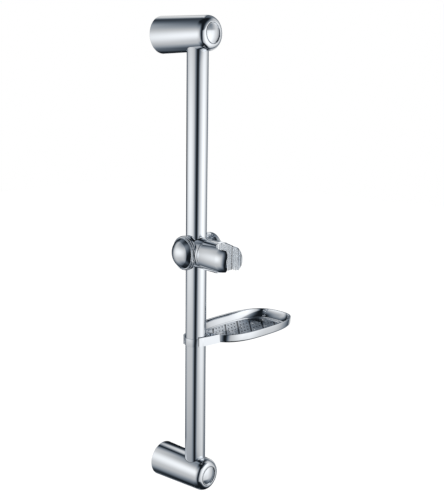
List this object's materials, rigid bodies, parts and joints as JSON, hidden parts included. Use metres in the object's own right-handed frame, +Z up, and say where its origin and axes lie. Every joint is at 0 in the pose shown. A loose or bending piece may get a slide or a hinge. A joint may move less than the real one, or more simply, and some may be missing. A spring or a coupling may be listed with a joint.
{
  "type": "shower slide rail",
  "caption": "Chrome shower slide rail on tapered wall brackets, with a sliding and swivelling handset holder and a clip-on soap dish.",
  "frame": {"origin": "centre of the lower wall plate's back face, on the wall plane", "axes": "+Z up along the rail, +Y into the wall, -Y into the room, +X to the right as seen from the room"},
  "size_m": [0.1902, 0.1267, 0.571],
  "materials": {
    "chrome": "polished chrome plate",
    "dish_chrome": "polished chrome plate on a moulding",
    "steel": "plain machined steel",
    "grey_plastic": "matt moulded",
    "clear_plastic": "pale translucent moulded",
    "black_plastic": "matt friction pad"
  },
  "bodies": {
    "column": {"rail_tube": "chrome", "lower_bracket": "chrome", "upper_bracket": "chrome", "lower_cap": "chrome", "upper_cap": "chrome", "lower_wall_plate": "steel", "upper_wall_plate": "steel", "lower_retaining_screw": "steel", "upper_retaining_screw": "steel", "lower_tube_plug": "grey_plastic", "upper_tube_plug": "grey_plastic"},
    "bush": {"slider_bush": "grey_plastic"},
    "slider": {"slider_body": "chrome", "dome_cap": "chrome", "friction_ring": "grey_plastic", "pivot_screw": "steel", "pivot_washer": "steel"},
    "clamp_pad": {"brake_pad": "black_plastic"},
    "knob": {"lock_knob": "chrome", "knob_stud": "steel"},
    "cradle": {"handset_cradle": "chrome", "cradle_liner": "clear_plastic"},
    "grip": {"dish_grip": "grey_plastic"},
    "dish": {"soap_dish": "dish_chrome"}
  },
  "joints": [
    {"name": "slider_slide", "type": "slide", "parent": "column", "child": "bush", "axis": [0, 0, 1], "range_m": [-0.02, 0.2]},
    {"name": "slider_swivel", "type": "hinge", "parent": "bush", "child": "slider", "pos_m": [0, -0.0555, 0.2781], "axis": [0, 0, 1], "range_deg": [-75, 95]},
    {"name": "clamp_slide", "type": "slide", "parent": "slider", "child": "clamp_pad", "axis": [0.9833, -0.1822, 0], "range_m": [0, 0.0005]},
    {"name": "knob_turn", "type": "hinge", "parent": "clamp_pad", "child": "knob", "pos_m": [0, -0.0555, 0.2781], "axis": [0.9833, -0.1822, 0], "range_deg": [0, 180]},
    {"name": "cradle_swivel", "type": "hinge", "parent": "slider", "child": "cradle", "pos_m": [0, -0.0555, 0.2781], "axis": [-0.1822, -0.9833, 0], "range_deg": [-60, 60]},
    {"name": "dish_slide", "type": "slide", "parent": "column", "child": "grip", "axis": [0, 0, 1], "range_m": [-0.135, 0.055]},
    {"name": "dish_swivel", "type": "hinge", "parent": "grip", "child": "dish", "pos_m": [0, -0.0555, 0.17], "axis": [0, 0, 1], "range_deg": [-90, 3]}
  ],
  "couplings": [
    {"joint": "clamp_slide", "follows": "knob_turn", "m_per_rad": 0.00015915}
  ]
}
